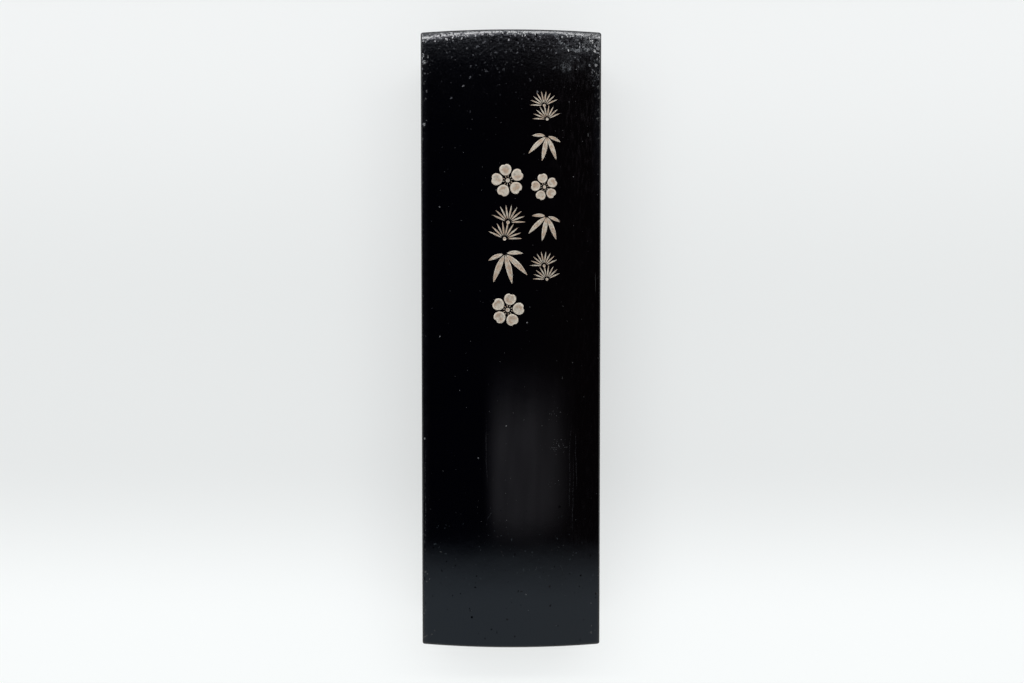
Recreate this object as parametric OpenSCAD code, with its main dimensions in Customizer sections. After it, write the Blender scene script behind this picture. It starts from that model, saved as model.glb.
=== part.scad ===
// Lacquered box for poem cards: an open body with a raised inner lip, and a flush lid with an arched top.
// X runs across the box, Y along it towards the head end, and Z up.
// The origin is the middle of the underside, so the box stands on the plane Z = 0.

/* [Box] */
// Overall length
box_length = 390; // [380:1:440]
// Overall width
box_width = 114; // [90:1:140]
// Height of the body, from the underside to the parting line
body_height = 34; // [26:1:60]
// Height of the lid's walls, from the parting line to the top board
lid_wall_height = 16; // [14:1:30]
// Thickness of the top board along its long edges
lid_edge = 5; // [4:0.5:9]
// Rise of the top board's arch above its long edges
crown = 6; // [3:0.5:12]
// Radius of the four upright outside corners
corner_radius = 1.5; // [0.5:0.1:2.4]
// Depth of the bevel on each side of the parting line
seam_bevel = 0.5; // [0.2:0.1:1]

/* [Boards] */
// Thickness of the walls of the body and the lid
wall = 7; // [6:0.5:10]
// Thickness of the base board
base = 6; // [4:0.5:9]
// Thickness of the lining boards that form the lip
lip = 3; // [2:0.5:5]
// Height of the lip above the parting line
lip_rise = 8; // [4:0.5:12]
// Bevel on the lip's two upper edges
lip_bevel = 0.8; // [0.3:0.1:0.9]
// Gap between the lip and the lid's walls
lid_gap = 0.3; // [0.1:0.05:0.6]
// Thickness of the side walls where they lap over the end walls
corner_lap = 3.5; // [2.5:0.5:4.5]
// Thickness of the walls left outside the base board
base_reveal = 3.5; // [2.5:0.5:4.5]

/* [Pegs] */
// Diameter of the bores for the bamboo pegs
peg_bore = 2; // [1.4:0.1:2.4]
// Clearance between a peg and its bore
peg_gap = 0.05; // [0.02:0.01:0.1]
// Cover left between the end of a bore and the outer face
peg_cover = 1; // [0.6:0.1:1.5]
// Depth of a peg in the board that it is driven into
peg_bite = 9; // [6:0.5:10]
// Pegs in each corner of the body
body_corner_pegs_each = 3; // [2:1:4]
// Pegs in each corner of the lid
lid_corner_pegs_each = 2; // [1:1:2]
// Pegs along each side wall
side_pegs_each = 6; // [3:1:8]
// Pegs along each end wall
end_pegs_each = 2; // [2:1:3]
// Distance from the box's corners to the nearest upright peg
peg_margin = 26; // [22:1:32]

/* [Ornament] */
// Height of the gold above the lacquer
relief = 0.3; // [0.1:0.05:0.6]
// Size of the motifs in the right column
small_motif = 18; // [10:1:22]
// Size of the motifs in the left column
large_motif = 22; // [12:1:26]
// Distance between the motifs in the right column
small_pitch = 25; // [23:1:30]
// Distance between the motifs in the left column
large_pitch = 27; // [26:1:32]
// Distance from the head end to the first motif of the right column
small_start = 48; // [30:1:60]
// Distance from the head end to the first motif of the left column
large_start = 94; // [60:1:110]
// Distance of the right column from the middle of the lid
small_column_x = 21; // [14:1:28]
// Distance of the left column from the middle of the lid, to the left
large_column_x = 2; // [0:1:12]

/* [Hidden] */
$fn = 96;
arc_steps = 256;
overcut = 1;
half_width = box_width / 2;
half_length = box_length / 2;
lid_underside = body_height + lid_wall_height;
lid_edge_top = lid_underside + lid_edge;
crown_top = lid_edge_top + crown;
arch_radius = (half_width * half_width + crown * crown) / (2 * crown);
inside_width = box_width - 2 * wall;
inside_length = box_length - 2 * wall;
small_column = ["pine", "bamboo", "plum", "bamboo", "pine"];
large_column = ["plum", "pine", "bamboo", "plum"];
lacquer_black = "#0b0a0b";
lacquer_inside = "#1a1210";
bamboo_buff = "#c9a86a";
pale_gold = "#cdb99c";

// A block centred on the box's own axis, from one height to another
module centred_block(width, length, bottom, top) {
    translate([-width / 2, -length / 2, bottom]) cube([width, length, top - bottom]);
}

// The outline of the whole box, with its rounded upright corners
module outer_prism(bottom, top) {
    translate([0, 0, bottom]) linear_extrude(top - bottom) {
        square([box_width - 2 * corner_radius, box_length], center = true);
        square([box_width, box_length - 2 * corner_radius], center = true);
        for (x = [-1, 1], y = [-1, 1])
            translate([x * (half_width - corner_radius), y * (half_length - corner_radius)])
                circle(corner_radius);
    }
}

// Children turned round to the left side, or to the foot end
module to_left() { mirror([1, 0, 0]) children(); }
module to_foot() { mirror([0, 1, 0]) children(); }

// The right side wall of the body or the lid, rebated at both ends for the end walls
module side_wall(bottom, top) {
    difference() {
        intersection() {
            outer_prism(bottom, top);
            translate([half_width - wall, -half_length, bottom])
                cube([wall, box_length, top - bottom]);
        }
        for (y = [-half_length - overcut, half_length - wall])
            translate([half_width - wall - overcut, y, bottom - overcut])
                cube([wall - corner_lap + overcut, wall + overcut, top - bottom + 2 * overcut]);
    }
}

// The head wall of the body or the lid, which fits between the laps of the side walls
module end_wall(bottom, top) {
    length = box_width - 2 * corner_lap;
    translate([-length / 2, half_length - wall, bottom]) cube([length, wall, top - bottom]);
}

// The base board, which also shapes the rebate that holds it
module base_block(extra = 0) {
    centred_block(box_width - 2 * base_reveal, box_length - 2 * base_reveal, -extra, base);
}

// The V cut round the parting line, as one straight groove on each side
module seam_groove() {
    diamond = [
        [-seam_bevel, 0], [0, seam_bevel], [overcut, seam_bevel], [overcut, -seam_bevel], [0, -seam_bevel]
    ];
    for (turn = [0, 180]) rotate([0, 0, turn]) {
        translate([half_width, half_length + overcut, body_height])
            rotate([90, 0, 0]) linear_extrude(box_length + 2 * overcut) polygon(diamond);
        translate([-half_width - overcut, half_length, body_height])
            rotate([90, 0, 90]) linear_extrude(box_width + 2 * overcut) polygon(diamond);
    }
}

// A peg across a joint at Z = 0, or its bore where the gap is 0
module peg(above, below, gap) {
    translate([0, 0, gap - below]) cylinder(d = peg_bore - 2 * gap, h = above + below - 2 * gap);
}

// Level pegs through the four corner laps, shared out over a height
module corner_pegs(bottom, top, count, gap) {
    for (x = [-1, 1], y = [-1, 1], i = [1 : count])
        translate([
            x * (half_width - corner_lap),
            y * (half_length - wall / 2),
            bottom + (top - bottom) * (i - 0.5) / count
        ])
            rotate([0, 90 * x, 0]) peg(corner_lap - peg_cover, peg_bite, gap);
}

// Upright pegs round all four walls, at a joint at one height
module rim_pegs(height, inset, above, below, gap) {
    side_run = box_length - 2 * peg_margin;
    end_run = box_width - 2 * peg_margin;
    for (side = [-1, 1]) {
        for (i = [0 : side_pegs_each - 1])
            translate([side * (half_width - inset), side_run * (i / (side_pegs_each - 1) - 0.5), height])
                peg(above, below, gap);
        for (i = [0 : end_pegs_each - 1])
            translate([end_run * (i / (end_pegs_each - 1) - 0.5), side * (half_length - inset), height])
                peg(above, below, gap);
    }
}

module body_corner_peg_set(gap) { corner_pegs(base, body_height, body_corner_pegs_each, gap); }
module base_peg_set(gap) { rim_pegs(base, (wall + base_reveal) / 2, peg_bite, base - peg_cover, gap); }
module lid_corner_peg_set(gap) { corner_pegs(body_height, lid_underside, lid_corner_pegs_each, gap); }
module lid_top_peg_set(gap) { rim_pegs(lid_underside, wall / 2, lid_edge - peg_cover, peg_bite, gap); }

// A wall of the body, cut for the base board, the parting line and the pegs
module body_wall_cuts() {
    color(lacquer_black) difference() {
        children();
        base_block(overcut);
        seam_groove();
        body_corner_peg_set(0);
        base_peg_set(0);
    }
}

// A wall of the lid, cut for the parting line and the pegs
module lid_wall_cuts() {
    color(lacquer_black) difference() {
        children();
        seam_groove();
        lid_corner_peg_set(0);
        lid_top_peg_set(0);
    }
}

module body_right_wall() { body_wall_cuts() side_wall(0, body_height); }
module body_left_wall() { body_wall_cuts() to_left() side_wall(0, body_height); }
module body_head_wall() { body_wall_cuts() end_wall(0, body_height); }
module body_foot_wall() { body_wall_cuts() to_foot() end_wall(0, body_height); }

module base_board() {
    color(lacquer_inside) difference() {
        base_block();
        base_peg_set(0);
    }
}

// Section of a lining board: X from the wall's inner face, Y up from the base board.
// Above the parting line it stands back from the lid's walls.
module lip_section() {
    rim = body_height - base;
    top = rim + lip_rise;
    polygon([
        [0, 0], [lip, 0], [lip, top - lip_bevel], [lip - lip_bevel, top],
        [lid_gap + lip_bevel, top], [lid_gap, top - lip_bevel], [lid_gap, rim], [0, rim]
    ]);
}

// The lining of the left wall, cut back above the parting line where it meets the end walls
module lip_left_board() {
    color(lacquer_inside) difference() {
        translate([-inside_width / 2, inside_length / 2, base])
            rotate([90, 0, 0]) linear_extrude(inside_length) lip_section();
        for (y = [-inside_length / 2 - overcut, inside_length / 2 - lid_gap])
            translate([-half_width, y, body_height])
                cube([box_width, lid_gap + overcut, lip_rise + overcut]);
    }
}

module lip_right_board() { to_left() lip_left_board(); }

// The lining of the foot wall, between the side linings
module lip_foot_board() {
    length = inside_width - 2 * lip;
    color(lacquer_inside) translate([-length / 2, -inside_length / 2, base])
        rotate([90, 0, 90]) linear_extrude(length) lip_section();
}

module lip_head_board() { to_foot() lip_foot_board(); }

module lid_right_wall() { lid_wall_cuts() side_wall(body_height, lid_underside); }
module lid_left_wall() { lid_wall_cuts() to_left() side_wall(body_height, lid_underside); }
module lid_head_wall() { lid_wall_cuts() end_wall(body_height, lid_underside); }
module lid_foot_wall() { lid_wall_cuts() to_foot() end_wall(body_height, lid_underside); }

// A solid under the lid's arch, or under a surface that lies a little above it
module under_arch(above = 0) {
    length = box_length + 2 * overcut;
    translate([0, length / 2, crown_top - arch_radius])
        rotate([90, 0, 0]) cylinder(r = arch_radius + above, h = length, $fn = arc_steps);
}

module lid_top_board() {
    color(lacquer_black) difference() {
        intersection() {
            outer_prism(lid_underside, crown_top + overcut);
            under_arch();
        }
        lid_top_peg_set(0);
    }
}

module body_corner_pegs() { color(bamboo_buff) body_corner_peg_set(peg_gap); }
module base_pegs() { color(bamboo_buff) base_peg_set(peg_gap); }
module lid_corner_pegs() { color(bamboo_buff) lid_corner_peg_set(peg_gap); }
module lid_top_pegs() { color(bamboo_buff) lid_top_peg_set(peg_gap); }

// A pointed leaf along +Y from the origin, between two arcs
module leaf(length, width) {
    radius = (length * length + width * width) / (4 * width);
    translate([0, length / 2]) intersection() {
        translate([width / 2 - radius, 0]) circle(radius, $fn = arc_steps);
        translate([radius - width / 2, 0]) circle(radius, $fn = arc_steps);
    }
}

// Leaves that fan out from a middle point, with a clear hub
module leaf_fan(count, spread, hub, length, width) {
    for (i = [0 : count - 1])
        rotate([0, 0, spread * (i / (count - 1) - 0.5)]) translate([0, hub]) leaf(length, width);
}

// Five round petals, notched at the tip, about a small eye
module plum(size) {
    circle(d = 0.16 * size);
    for (i = [0 : 4]) rotate([0, 0, 72 * i]) difference() {
        translate([0, 0.31 * size]) circle(d = 0.34 * size);
        translate([0, 0.49 * size]) circle(d = 0.08 * size);
    }
}

// Three long and two short leaves that droop from the joint of a stem
module bamboo(size) {
    translate([0, 0.4 * size]) rotate([0, 0, 180]) {
        leaf_fan(3, 64, 0.06 * size, 0.84 * size, 0.17 * size);
        leaf_fan(2, 150, 0.06 * size, 0.46 * size, 0.12 * size);
    }
}

// Two tiers of needles, each spread upwards from its own bud
module pine(size) {
    for (tier = [-0.44, 0.04]) translate([0, tier * size]) {
        circle(d = 0.1 * size);
        leaf_fan(9, 156, 0.09 * size, 0.42 * size, 0.05 * size);
    }
}

module motif(kind, size) {
    if (kind == "plum") plum(size);
    if (kind == "bamboo") bamboo(size);
    if (kind == "pine") pine(size);
}

// The motifs of one kind in a column of mixed motifs, each turned a little from the last
module column(kinds, wanted, x, start, pitch, size) {
    lean = 12;
    for (i = [0 : len(kinds) - 1]) if (kinds[i] == wanted)
        translate([x, half_length - start - i * pitch])
            rotate([0, 0, i % 2 == 0 ? lean : -lean]) motif(wanted, size);
}

// Gold of one kind, as a thin relief that follows the arch
module gold(wanted) {
    color(pale_gold) intersection() {
        translate([0, 0, lid_edge_top]) linear_extrude(crown + relief + overcut) {
            column(small_column, wanted, small_column_x, small_start, small_pitch, small_motif);
            column(large_column, wanted, -large_column_x, large_start, large_pitch, large_motif);
        }
        difference() {
            under_arch(relief);
            under_arch();
        }
    }
}

module gold_plum_blossoms() { gold("plum"); }
module gold_bamboo_leaves() { gold("bamboo"); }
module gold_pine_needles() { gold("pine"); }

base_board();
body_left_wall();
body_right_wall();
body_head_wall();
body_foot_wall();
lip_left_board();
lip_right_board();
lip_head_board();
lip_foot_board();
body_corner_pegs();
base_pegs();
lid_top_board();
lid_left_wall();
lid_right_wall();
lid_head_wall();
lid_foot_wall();
lid_corner_pegs();
lid_top_pegs();
gold_plum_blossoms();
gold_bamboo_leaves();
gold_pine_needles();
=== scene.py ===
"""Looks of the lacquered poem card box: refined boards, gold relief, materials, studio light and camera."""

import math

import bmesh
import bpy
from mathutils import Matrix, Vector, noise


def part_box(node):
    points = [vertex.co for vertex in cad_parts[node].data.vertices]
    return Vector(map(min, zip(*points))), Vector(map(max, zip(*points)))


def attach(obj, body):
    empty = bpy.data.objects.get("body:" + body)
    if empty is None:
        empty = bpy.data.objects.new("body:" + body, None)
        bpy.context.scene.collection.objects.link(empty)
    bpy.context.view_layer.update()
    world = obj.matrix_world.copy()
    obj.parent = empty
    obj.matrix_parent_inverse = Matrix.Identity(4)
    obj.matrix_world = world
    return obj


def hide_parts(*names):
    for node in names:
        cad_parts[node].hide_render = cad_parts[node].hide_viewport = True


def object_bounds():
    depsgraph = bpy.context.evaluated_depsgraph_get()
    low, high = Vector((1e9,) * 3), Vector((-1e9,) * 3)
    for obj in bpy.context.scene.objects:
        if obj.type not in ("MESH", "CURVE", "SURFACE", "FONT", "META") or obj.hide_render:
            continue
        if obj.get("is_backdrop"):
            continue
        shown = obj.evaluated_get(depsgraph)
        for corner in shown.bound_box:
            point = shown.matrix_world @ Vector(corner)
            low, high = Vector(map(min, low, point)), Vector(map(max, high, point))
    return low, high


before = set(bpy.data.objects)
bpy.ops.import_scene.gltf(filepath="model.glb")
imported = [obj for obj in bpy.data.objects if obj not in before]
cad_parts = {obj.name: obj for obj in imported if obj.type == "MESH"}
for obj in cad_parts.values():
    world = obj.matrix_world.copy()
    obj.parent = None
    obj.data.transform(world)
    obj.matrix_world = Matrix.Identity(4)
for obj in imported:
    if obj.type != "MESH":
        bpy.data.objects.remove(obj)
cad_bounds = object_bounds()
MM = 0.001

# Sizes, in millimetres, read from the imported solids
top_low, top_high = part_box("lid_top_board")
HALF_W = top_high[0] / MM
HALF_L = top_high[1] / MM
LID_UNDER = top_low[2] / MM
CROWN_TOP = top_high[2] / MM
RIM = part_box("body_right_wall")[1][2] / MM
BASE_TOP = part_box("base_board")[1][2] / MM
BASE_HALF_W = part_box("base_board")[1][0] / MM
BASE_HALF_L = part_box("base_board")[1][1] / MM
INNER_HALF_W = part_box("body_right_wall")[0][0] / MM
INNER_HALF_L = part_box("body_head_wall")[0][1] / MM
LAP_HALF_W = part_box("body_head_wall")[1][0] / MM

# Rise of the lid's arch, and the radius that follows from it
CROWN = 6.0
ARCH_R = (HALF_W**2 + CROWN**2) / (2 * CROWN)

# Softened edges
SIDE_ROUND = 0.9
END_ROUND = 1.2
CORNER_ROUND = 1.5
FOOT_ROUND = 1.0
SEAM_ROUND = 0.5
LINING_BEVEL = 0.35

# Length and steepest gradient of the worn slope at the lid's head edge
HEAD_SOFT = 4.4
HEAD_SLOPE = 0.118

# Unevenness of the lid's face: its long waves, its short waves, and how far it lies under the solid's face
LONG_WAVE = 0.035
SHORT_WAVE = 0.012
FACE_DROP = 0.05

# Clearance between a peg and its bore, and the sides of a bore
PEG_GAP = 0.05
BORE_SIDES = 32

# Vertices of a board or a peg that are closer than this are taken as one
WELD_REACH = 0.001


def lid_surface(x, y):
    """Height of the lid's face, with the slight unevenness of hand-applied lacquer and a worn head edge."""
    arch = CROWN_TOP - ARCH_R + math.sqrt(ARCH_R**2 - x * x)
    wave = noise.noise(Vector((x * 0.03, y * 0.017, 4.2))) * LONG_WAVE
    wave += noise.noise(Vector((x * 0.07, y * 0.06, 9.1))) * SHORT_WAVE
    uneven = 0.35 * noise.noise(Vector((x * 0.06, 2.7, 1.3)))
    soft = HEAD_SOFT * (1 + uneven + 0.35 * (x / HALF_W) ** 2)
    droop = HEAD_SLOPE * max(0.0, y - HALF_L + soft) ** 2 / (2 * soft)
    return arch - FACE_DROP + wave - droop


# Node helpers


class Nodes:
    """Short calls for building a node tree."""

    def __init__(self, tree):
        self.tree = tree
        tree.nodes.clear()

    def add(self, kind, **settings):
        made = self.tree.nodes.new(kind)
        for key, value in settings.items():
            setattr(made, key, value)
        return made

    def put(self, socket, value):
        """Links a socket, or sets it where the value is a plain one."""
        if isinstance(value, bpy.types.NodeSocket):
            self.tree.links.new(value, socket)
        else:
            socket.default_value = value

    def math(self, operation, a, b=0.0, c=0.0):
        made = self.add("ShaderNodeMath", operation=operation)
        for socket, value in zip(made.inputs, (a, b, c)):
            self.put(socket, value)
        return made.outputs[0]

    def times(self, *values):
        out = values[0]
        for value in values[1:]:
            out = self.math("MULTIPLY", out, value)
        return out

    def largest(self, *values):
        out = values[0]
        for value in values[1:]:
            out = self.math("MAXIMUM", out, value)
        return out

    def vector(self, operation, *values):
        made = self.add("ShaderNodeVectorMath", operation=operation)
        for socket, value in zip(made.inputs, values):
            self.put(socket, value)
        return made.outputs["Value" if operation == "LENGTH" else "Vector"]

    def scaled(self, vector, scale):
        made = self.add("ShaderNodeVectorMath", operation="SCALE")
        self.put(made.inputs[0], vector)
        self.put(made.inputs["Scale"], scale)
        return made.outputs[0]

    def split(self, vector):
        made = self.add("ShaderNodeSeparateXYZ")
        self.put(made.inputs[0], vector)
        return made.outputs

    def step(self, value, low, high, out_low=0.0, out_high=1.0, shape="SMOOTHSTEP"):
        """From out_low at low to out_high at high, and level beyond; low may be above high."""
        made = self.add("ShaderNodeMapRange", interpolation_type=shape)
        for socket, number in zip(made.inputs, (value, low, high, out_low, out_high)):
            self.put(socket, number)
        return made.outputs[0]

    def mix(self, factor, a, b):
        made = self.add("ShaderNodeMix", data_type="RGBA")
        self.put(made.inputs[0], factor)
        self.put(made.inputs[6], a)
        self.put(made.inputs[7], b)
        return made.outputs[2]

    def stretched(self, vector, scale=(1.0, 1.0, 1.0), turn=0.0):
        """The vector scaled, then turned about Z by an angle in radians."""
        made = self.add("ShaderNodeMapping")
        self.put(made.inputs["Vector"], vector)
        made.inputs["Rotation"].default_value = (0, 0, turn)
        made.inputs["Scale"].default_value = scale
        return made.outputs[0]

    def noise(self, vector, scale, detail=2.0, roughness=0.5, output="Fac"):
        made = self.add("ShaderNodeTexNoise")
        self.put(made.inputs["Vector"], vector)
        made.inputs["Scale"].default_value = scale
        made.inputs["Detail"].default_value = detail
        made.inputs["Roughness"].default_value = roughness
        return made.outputs[output]

    def cells(self, vector, scale):
        """Distance to the middle of each random cell, its random colour, and that colour's channels."""
        made = self.add("ShaderNodeTexVoronoi")
        self.put(made.inputs["Vector"], vector)
        made.inputs["Scale"].default_value = scale
        channels = self.add("ShaderNodeSeparateColor")
        self.put(channels.inputs[0], made.outputs["Color"])
        return made.outputs["Distance"], made.outputs["Color"], channels.outputs

    def bump(self, height, strength, distance, normal=None):
        made = self.add("ShaderNodeBump")
        self.put(made.inputs["Strength"], strength)
        made.inputs["Distance"].default_value = distance
        self.put(made.inputs["Height"], height)
        if normal is not None:
            self.put(made.inputs["Normal"], normal)
        return made.outputs[0]

    def surface(self, shader):
        output = self.add("ShaderNodeOutputMaterial")
        self.put(output.inputs["Surface"], shader.outputs[0])

    def principled(self, **values):
        made = self.add("ShaderNodeBsdfPrincipled")
        for key, value in values.items():
            self.put(made.inputs[key.replace("_", " ")], value)
        self.surface(made)


def new_material(name):
    """A new material, its nodes, and the place on the object in metres."""
    made = bpy.data.materials.new(name)
    made.use_nodes = True
    n = Nodes(made.node_tree)
    return made, n, n.add("ShaderNodeTexCoord").outputs["Object"]


def material(name):
    """A new material for the part, its nodes, and the place on the part in millimetres."""
    made, n, place = new_material(name)
    return made, n, n.scaled(place, 1 / MM)


def specks(n, mm, scale, size, share, soft=0.02):
    """Round specks in a share of cells of 1 / scale mm, each with a radius of up to size of its cell."""
    distance, _, (pick, spread, _) = n.cells(mm, scale)
    radius = n.times(spread, size)
    spot = n.step(n.math("SUBTRACT", distance, radius), soft, -soft)
    return n.times(spot, n.math("LESS_THAN", pick, share))


def facets(n, mm, scale, tilt, share, normal):
    """A normal, tipped at random in a share of cells of 1 / scale mm, as small flaws catch the light."""
    wander = n.noise(mm, 0.6, output="Color")
    moved = n.vector("MULTIPLY_ADD", wander, (2.0, 2.0, 2.0), mm)
    _, colour, (_, _, pick) = n.cells(moved, scale)
    centred = n.vector("SUBTRACT", colour, (0.5, 0.5, 0.5))
    tipped = n.scaled(centred, n.times(tilt, n.math("LESS_THAN", pick, share)))
    return n.vector("NORMALIZE", n.vector("ADD", normal, tipped))


def swayed(n, value, by, reach):
    """A coordinate, moved to and fro by a noise."""
    return n.math("MULTIPLY_ADD", n.math("SUBTRACT", by, 0.5), reach, value)


def within(n, value, middle, reach):
    """1 near the middle, falling to 0 at a distance of reach."""
    return n.step(n.math("ABSOLUTE", n.math("SUBTRACT", value, middle)), reach, reach * 0.5)


def ring_mark(n, x, y, centre, radius, width):
    """A ring, as a damp foot or a knock leaves it, or with no radius a spot."""
    across = n.math("POWER", n.math("SUBTRACT", x, centre[0]), 2.0)
    along = n.math("POWER", n.math("SUBTRACT", y, centre[1]), 2.0)
    reach = n.math("SQRT", n.math("ADD", across, along))
    return within(n, reach, radius, width)


def hairlines(n, mm, turn, share):
    """Sparse hairline scratches in one direction."""
    return specks(n, n.stretched(mm, (0.3, 0.004, 0.02), turn), 1.0, 0.03, share, 0.012)


def scratch(n, x, y, start, end, width):
    """1 along a stroke from start to end, fading out towards both ends."""
    reach = (Vector(end) - Vector(start)).length / 2
    middle = (Vector(start) + Vector(end)) / 2
    way = (Vector(end) - Vector(start)).normalized()
    right = n.math("SUBTRACT", x, middle.x)
    up = n.math("SUBTRACT", y, middle.y)
    along = n.math("MULTIPLY_ADD", right, way.x, n.times(up, way.y))
    across = n.math("MULTIPLY_ADD", right, way.y, n.times(up, -way.x))
    return n.times(within(n, along, 0.0, reach), within(n, across, 0.0, width))


def edge_mask(n, x, y, z, reach):
    """1 along the box's outer edges, falling to 0 at a distance of reach into each face."""
    side = n.step(n.math("ABSOLUTE", x), HALF_W - reach, HALF_W - 0.1)
    end = n.step(n.math("ABSOLUTE", y), HALF_L - reach, HALF_L - 0.1)
    arch = n.math("MULTIPLY_ADD", n.times(x, x), 0.5 / ARCH_R, z)
    top = n.step(arch, CROWN_TOP - reach, CROWN_TOP - 0.4)
    foot = n.step(z, reach, 0.1)
    seam = n.step(n.math("ABSOLUTE", n.math("SUBTRACT", z, RIM)), reach * 0.6, 0.1)
    level = n.largest(top, foot, n.times(seam, 0.6))
    return n.largest(n.times(side, end), n.times(side, level), n.times(end, level))


# Materials

# Both ends of each scratch that stands out on the lid's face, in millimetres, and the width of a scratch
SCRATCHES = (
    ((-15.0, -94.0), (-15.5, -46.0)),
    ((37.0, -112.0), (38.0, -48.0)),
    ((39.0, -124.0), (40.0, -70.0)),
    ((42.0, -98.0), (41.0, -52.0)),
    ((-15.0, -113.0), (-10.5, -107.0)),
    ((31.0, -142.0), (34.0, -149.0)),
    ((-55.3, -58.0), (-55.0, -130.0)),
)
SCRATCH_WIDTH = 0.3

# Turn in radians and share of each set of hairline scratches
HAIRLINES = ((0.05, 0.2), (0.6, 0.12), (-0.35, 0.12))

# Place and reach of the patches of small pocks on the lid's face
POCKED = (
    ((28.0, -48.0), 5.0),
    ((29.5, -66.0), 7.0),
    ((27.5, -89.5), 5.0),
)

# Place and radius of small chips along the lid's long edges
EDGE_CHIPS = (
    ((-54.6, 176.0), 1.5),
    ((-54.8, 137.0), 1.3),
    ((53.6, 174.0), 1.2),
    ((54.6, 184.5), 1.4),
    ((-55.0, -62.0), 0.8),
)

# Place, radius and width of the two marks in the scuffed head corner
CORNER_RING = ((42.5, 198.5), 16.0, 1.3)
CORNER_SPOT = ((34.5, 172.0), 1.8, 2.4)

# Polished lacquer, at the left and at the right, and what lies on it or shows through it
BLACK_LEFT = (0.0004, 0.0004, 0.0011, 1)
BLACK_RIGHT = (0.0012, 0.0008, 0.0010, 1)
HAZE = (0.007, 0.0058, 0.0066, 1)
DULLED = (0.0045, 0.0045, 0.0058, 1)
WORN = (0.022, 0.018, 0.017, 1)
RUBBED = (0.065, 0.045, 0.035, 1)
SMEAR = (0.045, 0.05, 0.056, 1)
CORNER_MARK = (0.085, 0.09, 0.096, 1)
# Pale grey along the head edge: wear, and a painted highlight of the bright line along that edge
RIM_WEAR_AND_HIGHLIGHT = (0.09, 0.095, 0.1, 1)
SCRATCHED = (0.03, 0.03, 0.034, 1)
DUST = (0.3, 0.3, 0.31, 1)

# Satin lacquer, which reaches this far past the inner faces
INSIDE_MARGIN = 0.05
SATIN_DARK = (0.0035, 0.003, 0.0032, 1)
SATIN_LIGHT = (0.0085, 0.0062, 0.0058, 1)
SATIN_RUBBED = (0.05, 0.034, 0.026, 1)

# Refraction of both lacquers
LACQUER_IOR = 1.5

# Gold powder
GOLD_WARM = (0.43, 0.3, 0.21, 1)
GOLD_PALE = (0.54, 0.48, 0.395, 1)
GOLD_GREY = (0.3, 0.275, 0.24, 1)
# Painted highlight for the raised rims, where they would catch the light
GOLD_RIM_HIGHLIGHT = (0.74, 0.67, 0.57, 1)
GOLD_GAP = (0.16, 0.125, 0.09, 1)
GOLD_THIN = (0.12, 0.094, 0.07, 1)

# Bamboo
FIBRE_DARK = (0.33, 0.21, 0.09, 1)
FIBRE_PALE = (0.6, 0.44, 0.22, 1)


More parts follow.
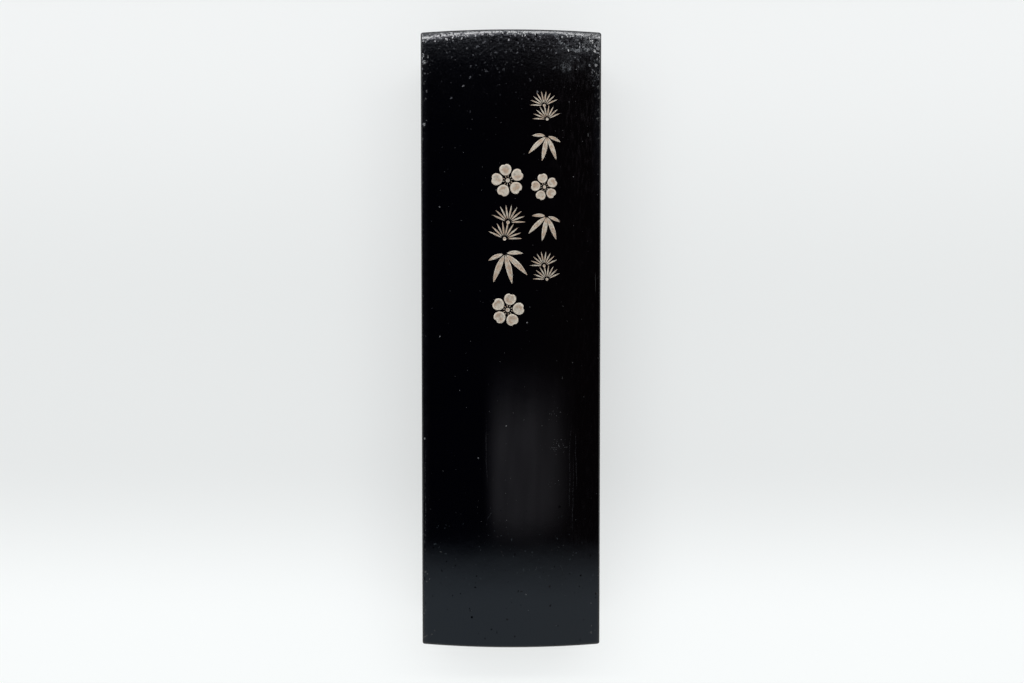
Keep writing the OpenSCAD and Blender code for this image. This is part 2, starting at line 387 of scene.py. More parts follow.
def lacquer_material():
    """Polished black lacquer with dust, scratches, a pitted head end, worn edges and a faint orange peel."""
    made, n, mm = material("black_lacquer")
    x, y, z = n.split(mm)
    normal = n.add("ShaderNodeNewGeometry").outputs["Normal"]
    upward = n.split(normal)[2]
    on_lid = n.times(n.step(z, LID_UNDER, LID_UNDER + 3), n.step(upward, 0.3, 0.7))
    off_lid = n.math("SUBTRACT", 1.0, on_lid)
    grain = n.noise(mm, 0.9, 4.0, 0.65)
    patch = n.noise(mm, 0.16, 3.0, 0.6)
    blotch = n.noise(mm, 0.05, 3.0)
    streak = n.noise(n.stretched(mm, (0.9, 0.02, 0.9)), 1.0, 3.0)
    to_right = n.step(x, -0.6 * HALF_W, 0.9 * HALF_W)
    to_head = n.times(n.step(y, HALF_L - 110, HALF_L), on_lid)

    # Pits that catch the light: close at the head edge and its right-hand corner, thinner down both sides
    uneven = swayed(n, y, patch, 9.0)
    rim = n.times(n.step(uneven, HALF_L - 13, HALF_L - 1), n.step(patch, 0.25, 0.5))
    corner_side = n.step(n.math("MULTIPLY_ADD", patch, 30.0, x), 28.0, 64.0)
    corner = n.times(corner_side, n.step(uneven, HALF_L - 31, HALF_L - 4))
    right_side = n.times(n.step(x, HALF_W - 16, HALF_W), n.step(uneven, HALF_L - 130, HALF_L - 20))
    left_side = n.times(n.step(x, 7 - HALF_W, -HALF_W), n.step(uneven, -HALF_L, HALF_L, 0.6, 1.0))
    pitted = n.largest(
        rim,
        n.times(corner, 0.8),
        n.times(right_side, 0.85),
        n.times(left_side, 0.8),
        n.times(to_head, 0.4),
    )
    pitted = n.times(pitted, on_lid)
    most_pits = n.step(y, HALF_L - 8, HALF_L - 2, 0.85, 0.5)
    pit_share = n.largest(n.times(pitted, pitted, most_pits), 0.014)
    foot_tilt = n.step(y, -90.0, -140.0, 0.0, 0.12)
    pit_tilt = n.largest(n.math("MULTIPLY_ADD", pitted, 0.105, 0.015), foot_tilt)
    glints = facets(n, n.stretched(mm, (1.0, 0.8, 1.0), 0.2), 1.25, pit_tilt, pit_share, normal)
    blot_share = n.times(to_head, to_head, 0.025)
    glints = facets(n, n.stretched(mm, turn=1.1), 0.75, 0.1, blot_share, glints)
    mottle = n.bump(n.noise(mm, 0.6, 3.0, 0.6), to_head, 0.00003, glints)

    # Dust, with chips near the head and along the edges, and patches of pocks
    border = edge_mask(n, x, y, z, 7.0)
    dust_share = n.math("ADD", n.math("MULTIPLY_ADD", to_head, 0.24, 0.08), n.times(border, 0.15))
    dust = specks(n, n.stretched(mm, turn=0.7), 0.19, 0.09, dust_share)
    fine_dust = specks(n, n.stretched(mm, turn=1.9), 0.5, 0.13, n.times(dust_share, 1.6), 0.06)
    dust = n.largest(n.times(dust, n.step(grain, 0.3, 0.6)), n.times(fine_dust, 0.4))
    chips = specks(n, n.stretched(mm, (1.0, 1.3, 1.0), 0.4), 0.11, 0.09, n.times(to_head, 0.12), 0.03)
    dust = n.largest(dust, n.times(chips, n.step(grain, 0.35, 0.55), 0.6))
    pocked = n.largest(*(ring_mark(n, x, y, centre, 0.0, reach) for centre, reach in POCKED))
    pocks = specks(n, n.stretched(mm, turn=0.9), 1.1, 0.3, n.times(pocked, 0.8), 0.08)
    dust = n.largest(dust, n.times(pocks, n.step(grain, 0.3, 0.6, 0.3, 0.6), on_lid))
    for centre, radius in EDGE_CHIPS:
        chip = ring_mark(n, x, y, centre, 0.0, radius)
        dust = n.largest(dust, n.times(chip, n.step(grain, 0.4, 0.55), on_lid))

    # Scuffs and wear, and a painted highlight along the head edge
    marks = n.largest(ring_mark(n, x, y, *CORNER_RING), n.times(ring_mark(n, x, y, *CORNER_SPOT), 0.55))
    marks = n.times(marks, n.step(grain, 0.4, 0.6), n.step(n.noise(mm, 0.3, 2.0), 0.34, 0.54), on_lid)
    smear = n.times(corner, n.step(patch, 0.3, 0.62), n.step(grain, 0.3, 0.7), on_lid)
    wear = n.times(edge_mask(n, x, y, z, 1.5), n.step(n.noise(mm, 0.35, 4.0, 0.7), 0.46, 0.64))
    rubbed = n.times(edge_mask(n, x, y, z, 2.6), n.step(n.noise(mm, 0.1, 5.0, 0.75), 0.5, 0.63), off_lid)
    # Along the head edge: wear that roughens the lacquer, and a pale colour that is a painted highlight of
    # the head-edge line
    rim_wear_and_highlight = n.times(n.step(y, HALF_L - 2.4, HALF_L - 0.8), on_lid, n.step(grain, 0.45, 0.65))

    # Haze down the right-hand side, and both sides dulled by handling
    brushed = n.noise(n.stretched(mm, (0.7, 0.13, 0.7)), 1.0, 4.0, 0.65)
    haze = n.times(n.step(x, 10.0, 54.0), n.step(brushed, 0.48, 0.68), n.step(y, 60.0, 140.0, 0.25, 1.0))
    dull_right = n.times(n.step(x, HALF_W - 8, HALF_W), n.step(y, 60.0, 130.0))
    dull_sides = n.largest(n.step(x, 6 - HALF_W, -HALF_W), dull_right)
    dulled = n.times(dull_sides, n.step(patch, 0.3, 0.6, 0.4, 1.0))

    # Scratches, dull spots and nicks
    lines = n.largest(*(hairlines(n, mm, turn, share) for turn, share in HAIRLINES))
    wobbly = swayed(n, x, n.noise(mm, 0.06, 3.0), 3.0)
    for start, end in SCRATCHES:
        line = scratch(n, wobbly, y, start, end, SCRATCH_WIDTH)
        lines = n.largest(lines, n.times(line, n.step(grain, 0.35, 0.65), on_lid, 0.7))
    dull = specks(n, n.stretched(mm, turn=2.6), 0.15, 0.08, 0.12, 0.03)
    nicks = specks(n, n.stretched(mm, (0.16, 0.045, 0.1), 0.5), 1.0, 0.07, 0.08)
    dull = n.largest(dull, nicks)

    # The walls' inner faces and the lid's underside, which are satin
    inside = n.times(
        n.math("LESS_THAN", n.math("ABSOLUTE", x), INNER_HALF_W + INSIDE_MARGIN),
        n.math("LESS_THAN", n.math("ABSOLUTE", y), INNER_HALF_L + INSIDE_MARGIN),
        n.math("LESS_THAN", z, LID_UNDER + INSIDE_MARGIN),
    )

    layers = (
        (haze, 0.7, HAZE),
        (dulled, 0.8, DULLED),
        (wear, 0.5, WORN),
        (rubbed, 0.7, RUBBED),
        (smear, 0.3, SMEAR),
        (marks, 0.7, CORNER_MARK),
        (rim_wear_and_highlight, 0.6, RIM_WEAR_AND_HIGHLIGHT),
        (lines, 0.3, SCRATCHED),
        (dust, 0.4, DUST),
    )
    colour = n.mix(to_right, BLACK_LEFT, BLACK_RIGHT)
    for mask, share, tint in layers:
        colour = n.mix(n.times(mask, share), colour, tint)
    colour = n.mix(inside, colour, n.mix(blotch, SATIN_DARK, SATIN_LIGHT))

    roughened = (
        (marks, 0.12),
        (smear, 0.1),
        (wear, 0.2),
        (rubbed, 0.2),
        (rim_wear_and_highlight, 0.2),
        (lines, 0.2),
        (dust, 0.3),
        (dull, 0.4),
        (haze, 0.04),
    )
    rough = n.math("ADD", n.step(blotch, 0.3, 0.7, 0.052, 0.068), n.times(to_head, 0.012))
    for mask, amount in roughened:
        rough = n.math("ADD", rough, n.times(mask, amount))
    rough = n.math("MULTIPLY_ADD", inside, 0.26, rough)

    peel = n.math("MULTIPLY_ADD", streak, 0.25, n.noise(mm, 0.16, 2.0))
    bump = n.bump(peel, 0.08, 0.0001, mottle)
    bump = n.bump(n.math("SUBTRACT", dust, lines), 0.25, 0.00006, bump)
    n.principled(Base_Color=colour, Roughness=rough, IOR=LACQUER_IOR, Normal=bump)
    return made


def inner_material():
    """Satin black lacquer inside, with brush marks along the boards and a little rubbing on the lip."""
    made, n, mm = material("satin_inner_lacquer")
    height = n.split(mm)[2]
    brush = n.noise(n.stretched(mm, (0.5, 0.012, 0.5)), 1.0, 4.0, 0.6)
    cloud = n.noise(mm, 0.03, 3.0)
    rub = n.times(n.step(height, RIM - 1.0, RIM + 7.0), n.step(n.noise(mm, 0.25, 4.0, 0.7), 0.48, 0.68))
    colour = n.mix(cloud, SATIN_DARK, SATIN_LIGHT)
    colour = n.mix(n.times(rub, 0.45), colour, SATIN_RUBBED)
    rough = n.step(brush, 0.3, 0.7, 0.28, 0.4)
    n.principled(Base_Color=colour, Roughness=rough, IOR=LACQUER_IOR, Normal=n.bump(brush, 0.15, 0.0001))
    return made


def gold_material():
    """Pale gold powder laid with a brush: grainy, streaked, with a painted highlight at raised rims, rubbed
    thin in places.
    """
    made, n, mm = material("pale_gold_powder")
    stroke = n.add("ShaderNodeAttribute", attribute_name="stroke").outputs["Vector"]
    across = n.split(stroke)[0]
    powder = n.noise(mm, 3.2, 3.0, 0.7)
    cloud = n.noise(mm, 0.35, 3.0)
    worn = n.noise(n.stretched(mm, turn=0.8), 0.6, 3.0)
    drag = n.noise(n.stretched(stroke, (2.2, 0.9, 5.0)), 1.0, 3.0, 0.65)
    rim = n.step(n.math("ABSOLUTE", across), 0.5, 0.9)
    thin = n.step(n.math("MULTIPLY_ADD", rim, -0.18, drag), 0.5, 0.68)
    thin = n.largest(thin, n.step(n.noise(mm, 0.75, 4.0, 0.7), 0.6, 0.72))
    colour = n.mix(n.step(cloud, 0.4, 0.6), GOLD_WARM, GOLD_PALE)
    colour = n.mix(n.step(worn, 0.52, 0.68, 0.0, 0.7), colour, GOLD_GREY)
    # A paler colour at the raised rims: a painted highlight
    colour = n.mix(n.times(rim, 0.6), colour, GOLD_RIM_HIGHLIGHT)
    colour = n.mix(n.step(powder, 0.4, 0.7), n.mix(0.3, colour, GOLD_GAP), colour)
    colour = n.mix(n.times(thin, 0.6), colour, GOLD_THIN)
    metal = n.step(thin, 0.0, 1.0, 0.45, 0.15)
    rough = n.step(powder, 0.3, 0.7, 0.42, 0.62)
    height = n.math("MULTIPLY_ADD", thin, -0.6, powder)
    n.principled(Base_Color=colour, Metallic=metal, Roughness=rough, Normal=n.bump(height, 0.35, 0.00005))
    return made


def bamboo_material():
    """Split bamboo: pale buff with fine dark fibres."""
    made, n, mm = material("split_bamboo")
    fibre = n.noise(n.stretched(mm, (2.5, 2.5, 0.35)), 1.0, 3.0, 0.6)
    colour = n.mix(n.step(fibre, 0.35, 0.65), FIBRE_DARK, FIBRE_PALE)
    rough = n.step(fibre, 0.3, 0.7, 0.45, 0.65)
    n.principled(Base_Color=colour, Roughness=rough, Normal=n.bump(fibre, 0.2, 0.0001))
    return made


LACQUER = lacquer_material()
INNER = inner_material()
GOLD = gold_material()
BAMBOO = bamboo_material()


# Boards


def new_object(name, bm):
    """A linked object from a mesh, which is used up."""
    mesh = bpy.data.meshes.new(name)
    bm.to_mesh(mesh)
    bm.free()
    made = bpy.data.objects.new(name, mesh)
    bpy.context.scene.collection.objects.link(made)
    return made


def islands(bm):
    """The places of the vertices of each separate solid in a mesh."""
    for first in bm.verts:
        if first.tag:
            continue
        first.tag = True
        waiting = [first]
        places = []
        while waiting:
            vert = waiting.pop()
            places.append(vert.co.copy())
            for edge in vert.link_edges:
                other = edge.other_vert(vert)
                if not other.tag:
                    other.tag = True
                    waiting.append(other)
        yield places


def bore(made, pegs):
    """Cuts the blind bores for a group of pegs, level or upright cylinders, with a clearance round each."""
    solids = bmesh.new()
    solids.from_mesh(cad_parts[pegs].data)
    bmesh.ops.remove_doubles(solids, verts=solids.verts, dist=WELD_REACH * MM)
    bm = bmesh.new()
    for places in islands(solids):
        low = Vector([min(place[i] for place in places) for i in range(3)])
        high = Vector([max(place[i] for place in places) for i in range(3)])
        size = high - low
        turn = Matrix.Rotation(math.pi / 2 if size.x > size.z else 0.0, 4, "Y")
        radius = size.y / 2 + PEG_GAP * MM
        bmesh.ops.create_cone(
            bm,
            cap_ends=True,
            segments=BORE_SIDES,
            radius1=radius,
            radius2=radius,
            depth=max(size) + 2 * PEG_GAP * MM,
            matrix=Matrix.Translation((low + high) / 2) @ turn,
        )
    solids.free()
    cutter = new_object("cutter", bm)
    cut = made.modifiers.new("cut", "BOOLEAN")
    cut.operation = "DIFFERENCE"
    cut.solver = "EXACT"
    cut.object = cutter
    shape = made.evaluated_get(bpy.context.evaluated_depsgraph_get())
    made.data = bpy.data.meshes.new_from_object(shape)
    made.modifiers.remove(cut)
    bpy.data.objects.remove(cutter)


def piece(name, bm, body, nodes, look, sharp=35.0, even_normals=True, pegs=()):
    """A mesh in millimetres as a finished piece that stands for its CAD nodes, bored for groups of pegs."""
    bmesh.ops.scale(bm, vec=(MM, MM, MM), verts=bm.verts)
    made = new_object(name, bm)
    for group in pegs:
        bore(made, group)
    made.data.shade_smooth()
    made.data.set_sharp_from_angle(angle=math.radians(sharp))
    made.data.materials.append(look)
    if even_normals:
        weighted = made.modifiers.new("even_normals", "WEIGHTED_NORMAL")
        weighted.keep_sharp = True
    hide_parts(*nodes)
    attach(made, body)


# Angles of the points round an edge, the distances of the points next to it, and the first step after those
EDGE_ANGLES = (90, 78, 66, 54, 42, 30, 20, 10, 0)
NEAR_EDGE = (0.15, 0.5, 1.0, 1.5, 2.0, 2.6, 3.4)
AFTER_EDGE = 1.2

# Distance of the points on the rest of the lid's face, across and along it
STEP_ACROSS = 2.4
STEP_ALONG = 3.0


def edge_steps(half, radius, middle_step):
    """Places across a board: close together in the rounded edges, even in between."""
    offsets = [radius * (1 - math.sin(math.radians(angle))) for angle in EDGE_ANGLES]
    offsets += [radius + step for step in NEAR_EDGE]
    inner = half - offsets[-1] - AFTER_EDGE
    count = max(2, round(2 * inner / middle_step))
    middle = [-inner + 2 * inner * i / count for i in range(count + 1)]
    return [-half + offset for offset in offsets] + middle + [half - offset for offset in reversed(offsets)]


def edge_drop(offset, radius):
    """How far a rounded edge falls at a distance of offset from the outer face."""
    inside = max(0.0, radius - offset)
    return radius - math.sqrt(max(0.0, radius**2 - inside**2))


def lid_point(x, y):
    """A point of the lid's face, with rounded edges and upright corners."""
    side_off = HALF_W - abs(x)
    end_off = HALF_L - abs(y)
    fall = max(edge_drop(side_off, SIDE_ROUND), edge_drop(end_off, END_ROUND))
    a = max(0.0, 1 - side_off / CORNER_ROUND)
    b = max(0.0, 1 - end_off / CORNER_ROUND)
    if a > 0 and b > 0:
        reach = max(a, b)
        angle = math.pi / 4 * (b / a if a >= b else 2 - a / b)
        x = math.copysign(HALF_W - CORNER_ROUND + CORNER_ROUND * reach * math.cos(angle), x)
        y = math.copysign(HALF_L - CORNER_ROUND + CORNER_ROUND * reach * math.sin(angle), y)
    return x, y, lid_surface(x, y) - fall


def lid_top():
    """The arched top board: face, rounded edges and corners, upright sides and flat underside."""
    bm = bmesh.new()
    xs = edge_steps(HALF_W, SIDE_ROUND, STEP_ACROSS)
    ys = edge_steps(HALF_L, END_ROUND, STEP_ALONG)
    grid = [[bm.verts.new(lid_point(x, y)) for x in xs] for y in ys]
    for j in range(len(ys) - 1):
        for i in range(len(xs) - 1):
            bm.faces.new((grid[j][i], grid[j][i + 1], grid[j + 1][i + 1], grid[j + 1][i]))
    rim = grid[0][:-1] + [row[-1] for row in grid[:-1]] + grid[-1][:0:-1] + [row[0] for row in grid[:0:-1]]
    lower = [bm.verts.new((v.co.x, v.co.y, LID_UNDER)) for v in rim]
    for i in range(len(rim)):
        k = (i + 1) % len(rim)
        bm.faces.new((rim[i], rim[k], lower[k], lower[i]))
    bm.faces.new(lower)
    bmesh.ops.recalc_face_normals(bm, faces=bm.faces)
    pegs = ["lid_top_pegs"]
    piece("lid_top", bm, "lid", ["lid_top_board"], LACQUER, even_normals=False, pegs=pegs)


def rounding(radius, steps=5):
    """Inset from the outer face and height above the edge, round a quarter circle up to that face."""
    turns = [math.pi / 2 * i / steps for i in range(steps + 1)]
    return [(radius * (1 - math.sin(turn)), radius * (1 - math.cos(turn))) for turn in turns]


def side_plan(inset, inner_x):
    """Outline of the right-hand wall from above, with laps at both ends, its outer faces set in by inset."""
    radius = CORNER_ROUND - inset
    points = [(LAP_HALF_W, inset - HALF_L)]
    for end in (-1, 1):
        for degrees in range(0, 91, 15):
            turn = math.radians(degrees if end > 0 else degrees - 90)
            x = HALF_W - CORNER_ROUND + radius * math.cos(turn)
            points.append((x, end * (HALF_L - CORNER_ROUND) + radius * math.sin(turn)))
    points += [(LAP_HALF_W, HALF_L - inset), (LAP_HALF_W, INNER_HALF_L), (inner_x, INNER_HALF_L)]
    return points + [(inner_x, -INNER_HALF_L), (LAP_HALF_W, -INNER_HALF_L)]


def end_plan(inset, inner_y):
    """Outline of the head wall from above, between the side walls' laps, with points at its rebate."""
    right_end = [(LAP_HALF_W, y) for y in (inner_y, BASE_HALF_L, HALF_L - inset)]
    return right_end + [(-x, y) for x, y in reversed(right_end)]


def wall(name, node, side, end, on_body):
    """A wall of the body or the lid. side or end is -1 or 1 for the wall's place, and 0 for the other."""
    if on_body:
        levels = [(rise, inset, True) for inset, rise in rounding(FOOT_ROUND)]
        levels += [(BASE_TOP, 0.0, True), (BASE_TOP, 0.0, False)]
        levels += [(RIM - rise, inset, False) for inset, rise in reversed(rounding(SEAM_ROUND))]
    else:
        levels = [(RIM + rise, inset, False) for inset, rise in rounding(SEAM_ROUND)]
        levels.append((LID_UNDER, 0.0, False))
    bm = bmesh.new()
    rings = []
    for z, inset, rebated in levels:
        if side:
            plan = side_plan(inset, BASE_HALF_W if rebated else INNER_HALF_W)
        else:
            plan = end_plan(inset, BASE_HALF_L if rebated else INNER_HALF_L)
        rings.append([bm.verts.new((x * (side or 1), y * (end or 1), z)) for x, y in plan])
    for low, high in zip(rings, rings[1:]):
        for i in range(len(low)):
            k = (i + 1) % len(low)
            bm.faces.new((low[i], low[k], high[k], high[i]))
    bm.faces.new(rings[0])
    bm.faces.new(rings[-1])
    bmesh.ops.remove_doubles(bm, verts=bm.verts, dist=WELD_REACH)
    bmesh.ops.recalc_face_normals(bm, faces=bm.faces)
    body = "body" if on_body else "lid"
    pegs = ["body_corner_pegs", "base_pegs"] if on_body else ["lid_corner_pegs", "lid_top_pegs"]
    piece(name, bm, body, [node], LACQUER, sharp=30.0, pegs=pegs)


for word, side, end in (("left", -1, 0), ("right", 1, 0), ("head", 0, 1), ("foot", 0, -1)):
    wall(f"body_wall_{word}", f"body_{word}_wall", side, end, True)
    wall(f"lid_wall_{word}", f"lid_{word}_wall", side, end, False)
lid_top()

# Solids that stay, with better materials, and softened edges on the linings
LININGS = ("lip_left_board", "lip_right_board", "lip_head_board", "lip_foot_board")
PEGS = ("body_corner_pegs", "base_pegs", "lid_corner_pegs", "lid_top_pegs")
for look, names in ((INNER, LININGS + ("base_board",)), (BAMBOO, PEGS)):
    for node in names:
        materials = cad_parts[node].data.materials
        materials.clear()
        materials.append(look)
for node in LININGS:
    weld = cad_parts[node].modifiers.new("weld", "WELD")
    weld.merge_threshold = WELD_REACH * MM
    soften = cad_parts[node].modifiers.new("soften", "BEVEL")
    soften.width = LINING_BEVEL * MM
    soften.segments = 3
    soften.limit_method = "ANGLE"
    soften.angle_limit = math.radians(25)


# Gold relief

# Height of the relief over the lid's face, and of its border, which lies under that face
RELIEF = 0.28
SUNK = -0.05

# Points at a leaf's tips that are closer than this are taken as one
TIP_REACH = 0.002

# Place across a leaf and share of the relief's height
LEAF_SECTION = (
    (-1, 0),
    (-0.8, 0.85),
    (-0.6, 1.0),
    (-0.12, 0.8),
    (0, 0.8),
    (0.12, 0.8),
    (0.6, 1.0),
    (0.8, 0.85),
    (1, 0),
)

# Place from the middle of a petal to its outline and share of the relief's height
ROUND_SECTION = ((1.0, 0), (0.93, 0.75), (0.84, 1.0), (0.72, 0.9), (0.5, 0.72), (0.2, 0.68))


def turned(centre, turn, x, y):
    """The place of a point that lies at x, y from centre, after a turn in degrees about it."""
    angle = math.radians(turn)
    return (
        centre[0] + x * math.cos(angle) - y * math.sin(angle),
        centre[1] + x * math.sin(angle) + y * math.cos(angle),
    )


class Relief:
    """Low crowned shapes that lie on the lid's face, with the place across and along each stroke."""

    def __init__(self):
        self.bm = bmesh.new()
        self.stroke = self.bm.verts.layers.float_vector.new("stroke")
        self.count = 0

    def point(self, place, rise, across, along):
        """A point with its height as a share of the relief's, where 0 stands for the sunk border."""
        x, y = place
        height = RELIEF * rise if rise else SUNK
        made = self.bm.verts.new((x, y, lid_surface(x, y) + height))
        made[self.stroke] = (across, along, self.count)
        return made

    def join(self, rows):
        for a, b in zip(rows, rows[1:]):
            for i in range(len(a)):
                k = (i + 1) % len(a)
                self.bm.faces.new((a[i], a[k], b[k], b[i]))

    def leaf(self, start, angle, length, width, bend=0.0, steps=14, vein=0.35):
        """A pointed leaf from start, at an angle in degrees from +Y, bent by a share of its length."""
        self.count += 1
        rows = []
        for i in range(steps + 1):
            s = i / steps
            half = width / 2 * max(0.0, math.sin(math.pi * s**0.85)) ** 0.8
            sway = bend * length * (math.sin(math.pi * s) + s * s)
            taper = 0.5 + 0.5 * math.sin(math.pi * s) ** 0.5
            row = []
            for across, rise in LEAF_SECTION:
                place = turned(start, angle, across * half + sway, s * length)
                dip = 1 - vein if across == 0 else 1
                row.append(self.point(place, taper * rise * dip, across, s * length))
            rows.append(row)
        self.join(rows)

    def round(self, outline, centre):
        """A filled shape with a raised rim, from its outline and the point that it shrinks to."""
        self.count += 1
        rings = []
        for share, rise in ROUND_SECTION:
            ring = []
            for i, (x, y) in enumerate(outline):
                place = (centre[0] + (x - centre[0]) * share, centre[1] + (y - centre[1]) * share)
                ring.append(self.point(place, rise, share, 6.0 * i / len(outline)))
            rings.append(ring)
        self.join(rings)
        self.bm.faces.new(rings[-1])
        self.bm.faces.new(reversed(rings[0]))

    def disc(self, centre, radius, sides=24):
        angles = [2 * math.pi * i / sides for i in range(sides)]
        outline = [(centre[0] + radius * math.cos(a), centre[1] + radius * math.sin(a)) for a in angles]
        self.round(outline, centre)

    def finish(self, name, node):
        bmesh.ops.remove_doubles(self.bm, verts=self.bm.verts, dist=TIP_REACH)
        piece(name, self.bm, "lid", [node], GOLD, sharp=60.0, even_normals=False)


# The motifs: their counts, angles in degrees, and sizes and places in shares of a motif's size

# A plum blossom's eye, its petals with the place of their middle, half their size and notch, and its stamens
EYE = 0.06
PETALS = 5
PETAL_POINTS = 48
PETAL_MIDDLE = 0.31
PETAL_HALF_W = 0.172
PETAL_HALF_L = 0.168
NOTCH = 0.03
STAMENS = 10
STAMEN_START = 0.085
STAMEN_LENGTH = 0.075
STAMEN_WIDTH = 0.022

# The place of the joint that bamboo leaves hang from, and their distance from it
JOINT = 0.4
LEAF_START = 0.06

# Each bamboo leaf's turn from the middle one, its length, its width and its bend
BAMBOO_LEAVES = (
    (-75, 0.46, 0.12, 0.05),
    (-32, 0.84, 0.165, 0.03),
    (0, 0.84, 0.17, -0.02),
    (32, 0.84, 0.165, -0.03),
    (75, 0.46, 0.12, -0.05),
)

# Places and radius of a pine's buds, and the needles of each with the angle that they spread over
PINE_BUDS = (-0.44, 0.04)
BUD = 0.05
NEEDLES = 9
NEEDLE_SPREAD = 156
NEEDLE_START = 0.09
NEEDLE_LENGTH = 0.42
NEEDLE_WIDTH = 0.05
NEEDLE_BEND = 0.02


def plum(relief, centre, size, turn):
    """Five notched petals that narrow towards an eye ringed with stamens."""
    relief.disc(centre, EYE * size)
    for i in range(PETALS):
        way = 360 / PETALS * i + turn
        outline = []
        for step in range(PETAL_POINTS):
            angle = 2 * math.pi * step / PETAL_POINTS
            notch = NOTCH * math.exp(-((angle - math.pi / 2) ** 2) / 0.05)
            across = PETAL_HALF_W * math.cos(angle) * (1 + 0.1 * math.sin(angle))
            outward = PETAL_MIDDLE + (PETAL_HALF_L - notch) * math.sin(angle)
            outline.append(turned(centre, way, across * size, outward * size))
        relief.round(outline, turned(centre, way, 0, PETAL_MIDDLE * size))
    for i in range(STAMENS):
        way = 360 / STAMENS * (i + 0.5) + turn
        start = turned(centre, way, 0, STAMEN_START * size)
        relief.leaf(start, way, STAMEN_LENGTH * size, STAMEN_WIDTH * size, steps=5, vein=0.0)


def bamboo(relief, centre, size, turn):
    """Five leaves that hang from one joint."""
    joint = turned(centre, turn, 0, JOINT * size)
    for way, length, width, bend in BAMBOO_LEAVES:
        angle = turn + 180 + way
        start = turned(joint, angle, 0, LEAF_START * size)
        relief.leaf(start, angle, length * size, width * size, bend)


def pine(relief, centre, size, turn):
    """Two fans of needles, one above the other, each from a bud."""
    last = NEEDLES - 1
    for tier in PINE_BUDS:
        bud = turned(centre, turn, 0, tier * size)
        relief.disc(bud, BUD * size)
        for i in range(NEEDLES):
            way = turn + NEEDLE_SPREAD * (i / last - 0.5)
            start = turned(bud, way, 0, NEEDLE_START * size)
            bend = NEEDLE_BEND * (2 * i - last) / last
            relief.leaf(start, way, NEEDLE_LENGTH * size, NEEDLE_WIDTH * size, bend, steps=8, vein=0.0)


# Lean of the motifs in degrees, to the left and to the right by turns
LEAN = 12

# Each column's motifs from the head down, its place across, its start from the head, its pitch and size
COLUMNS = (
    (("pine", "bamboo", "plum", "bamboo", "pine"), 21.0, 48.0, 25.0, 18.0),
    (("plum", "pine", "bamboo", "plum"), -2.0, 94.0, 27.0, 22.0),
)
DRAW = {"plum": plum, "bamboo": bamboo, "pine": pine}
reliefs = {kind: Relief() for kind in DRAW}
for kinds, column_x, start, pitch, size in COLUMNS:
    for i, kind in enumerate(kinds):
        centre = (column_x, HALF_L - start - i * pitch)
        DRAW[kind](reliefs[kind], centre, size, LEAN if i % 2 == 0 else -LEAN)
reliefs["plum"].finish("plum_blossoms", "gold_plum_blossoms")
reliefs["bamboo"].finish("bamboo_leaves", "gold_bamboo_leaves")
reliefs["pine"].finish("pine_needles", "gold_pine_needles")


# Floor, light and camera, in metres

WHITE = (1.0, 1.0, 1.0, 1)

# The floor's radius, and its colours beside the box, past its head, past its foot and further out; darker
# beside the box and lighter past both ends, as painted shade and painted light
FLOOR_RADIUS = 30.0
FLOOR_PAINTED_SHADE_BESIDE = (0.8, 0.812, 0.806, 1)
FLOOR_PAINTED_LIGHT_HEAD = (0.875, 0.885, 0.88, 1)
FLOOR_PAINTED_LIGHT_FOOT = (0.96, 0.975, 0.967, 1)
FLOOR_OUT = (0.93, 0.94, 0.935, 1)

# The cove's upper end, its tall soft lights and their number, and the ring at the foot and at the head
COVE_HIGH = (0.24, 0.245, 0.25, 1)
TALL_LIGHT = (0.95, 0.96, 0.96, 1)
TALL_LIGHTS = 6.0
RING_FOOT = (1.66, 1.7, 1.68, 1)
RING_HEAD = (2.2, 2.25, 2.23, 1)

# Overhead: the dark, the screen past the foot end, the dim panel and the glow by the head strip
DARK = (0.001, 0.001, 0.0015, 1)
SCREEN = (0.44, 0.53, 0.62, 1)
PANEL = (0.3, 0.297, 0.33, 1)
HEAD_GLOW = (1.9, 2.0, 2.25, 1)

# The strip lamp over the head end: degrees from overhead, distance, length and width, and power
STRIP_TILT = 31
STRIP_DISTANCE = 1.7
STRIP_SIZE = (2.2, 0.08)
STRIP_POWER = 8.1

# The camera over the lid: sensor and lens in millimetres, place, and tilt in degrees
SENSOR = 36.0
LENS = 29.7
CAMERA_PLACE = (0.00066, 0.016, 0.59255)
CAMERA_TILT = -1.712


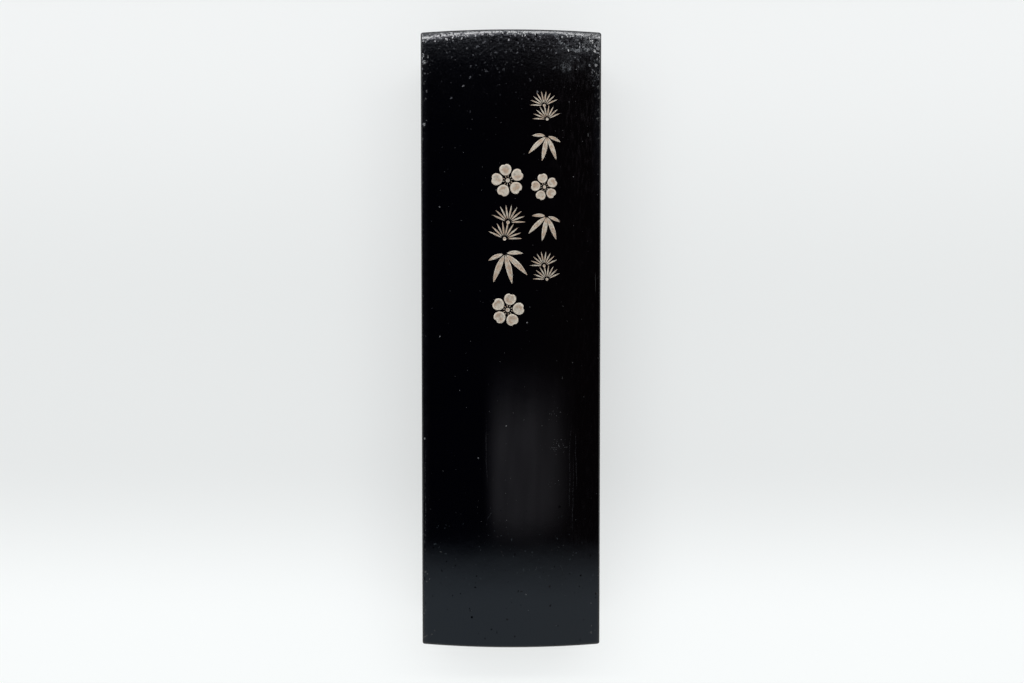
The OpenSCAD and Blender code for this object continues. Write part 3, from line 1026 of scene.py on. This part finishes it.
def studio_floor():
    """A wide pale floor with painted shade beside the box and painted light past both ends, that brightens
    into the cove far out.
    """
    bm = bmesh.new()
    bmesh.ops.create_circle(bm, cap_ends=True, segments=96, radius=FLOOR_RADIUS)
    floor = new_object("floor", bm)
    look, n, place = new_material("pale_floor")
    y = n.split(place)[1]
    distance = n.vector("LENGTH", place)
    far = n.step(distance, 0.5, 4.0)
    # Painted light falloff: darker beside the box, lighter past its head and past its foot
    colour = n.mix(n.step(y, 0.02, 0.22), FLOOR_PAINTED_SHADE_BESIDE, FLOOR_PAINTED_LIGHT_HEAD)
    colour = n.mix(n.step(y, -0.08, -0.2), colour, FLOOR_PAINTED_LIGHT_FOOT)
    colour = n.mix(n.step(distance, 0.36, 0.75), colour, FLOOR_OUT)
    matte = n.add("ShaderNodeBsdfDiffuse")
    n.put(matte.inputs["Color"], colour)
    glow = n.add("ShaderNodeEmission")
    n.put(glow.inputs["Color"], n.mix(far, colour, WHITE))
    path = n.add("ShaderNodeLightPath").outputs
    seen = n.largest(path["Is Camera Ray"], path["Is Glossy Ray"], path["Is Transmission Ray"])
    blend = n.add("ShaderNodeMixShader")
    n.put(blend.inputs[0], n.times(seen, n.step(far, 0.0, 1.0, 0.64, 1.0)))
    n.put(blend.inputs[1], matte.outputs[0])
    n.put(blend.inputs[2], glow.outputs[0])
    n.surface(blend)
    floor.data.materials.append(look)
    floor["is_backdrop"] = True


def studio_world():
    """A white cove with tall soft lights, a ring of soft light above it, and dark overhead.

    Overhead are also a dim screen past the foot end, a dim panel and a glow by the head strip.
    """
    world = bpy.data.worlds.new("studio")
    bpy.context.scene.world = world
    world.use_nodes = True
    n = Nodes(world.node_tree)
    way = n.add("ShaderNodeTexCoord").outputs["Generated"]
    x, y, z = n.split(way)
    overhead = n.step(z, 0.7, 0.84)

    cove = n.mix(n.step(z, 0.0, 0.42), WHITE, COVE_HIGH)
    turns = n.math("COSINE", n.times(n.math("ARCTAN2", x, y), TALL_LIGHTS))
    tall = n.times(n.step(turns, 0.45, 0.95), n.step(z, 0.1, 0.26), n.step(z, 0.6, 0.46))
    cove = n.mix(tall, cove, TALL_LIGHT)

    screen = n.math("SUBTRACT", 1.0, n.math("POWER", n.step(y, -0.324, -0.261, shape="LINEAR"), 1.6))
    light = n.mix(overhead, cove, n.mix(screen, DARK, SCREEN))
    ring = n.times(n.step(z, 0.54, 0.66), n.step(z, 0.83, 0.75))
    light = n.mix(ring, light, n.mix(n.step(y, -0.3, 0.6), RING_FOOT, RING_HEAD))

    aside = n.math("DIVIDE", x, z)
    along = n.math("DIVIDE", y, z)
    panel = n.times(
        n.step(aside, -0.17, -0.05),
        n.step(aside, 0.42, 0.12),
        n.step(along, -0.285, -0.225),
        n.step(along, -0.04, -0.16),
        overhead,
        n.step(n.noise(way, 9.0, 2.0), 0.3, 0.65, 0.6, 1.0),
    )
    light = n.mix(panel, light, PANEL)
    near_head = n.math("POWER", n.step(y, 0.235, 0.345, shape="LINEAR"), 7.0)
    light = n.mix(n.times(near_head, overhead), light, HEAD_GLOW)

    back = n.add("ShaderNodeBackground")
    n.put(back.inputs["Color"], light)
    output = n.add("ShaderNodeOutputWorld")
    n.put(output.inputs["Surface"], back.outputs[0])


def head_strip():
    """A long narrow lamp that gives the bright line along the worn head edge."""
    data = bpy.data.lights.new("head_strip", "AREA")
    data.shape = "RECTANGLE"
    data.size, data.size_y = STRIP_SIZE
    data.energy = STRIP_POWER
    made = bpy.data.objects.new("head_strip", data)
    bpy.context.scene.collection.objects.link(made)
    tilt = math.radians(STRIP_TILT)
    away = Vector((0, math.sin(tilt), math.cos(tilt))).normalized()
    made.location = away * STRIP_DISTANCE
    made.rotation_euler = away.to_track_quat("Z", "Y").to_euler()


def camera():
    """The photograph's view, straight down on the lid but for a slight tilt."""
    data = bpy.data.cameras.new("camera")
    data.sensor_width = SENSOR
    data.lens = LENS
    data.clip_start = 0.01
    made = bpy.data.objects.new("camera", data)
    bpy.context.scene.collection.objects.link(made)
    made.location = CAMERA_PLACE
    made.rotation_euler = (math.radians(CAMERA_TILT), 0, 0)
    bpy.context.scene.camera = made


studio_floor()
studio_world()
head_strip()
camera()
bpy.context.scene.view_settings.view_transform = "Standard"

boxes = {"cad": cad_bounds, "visual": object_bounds()}
{key: [list(corner) for corner in value] for key, value in boxes.items()}
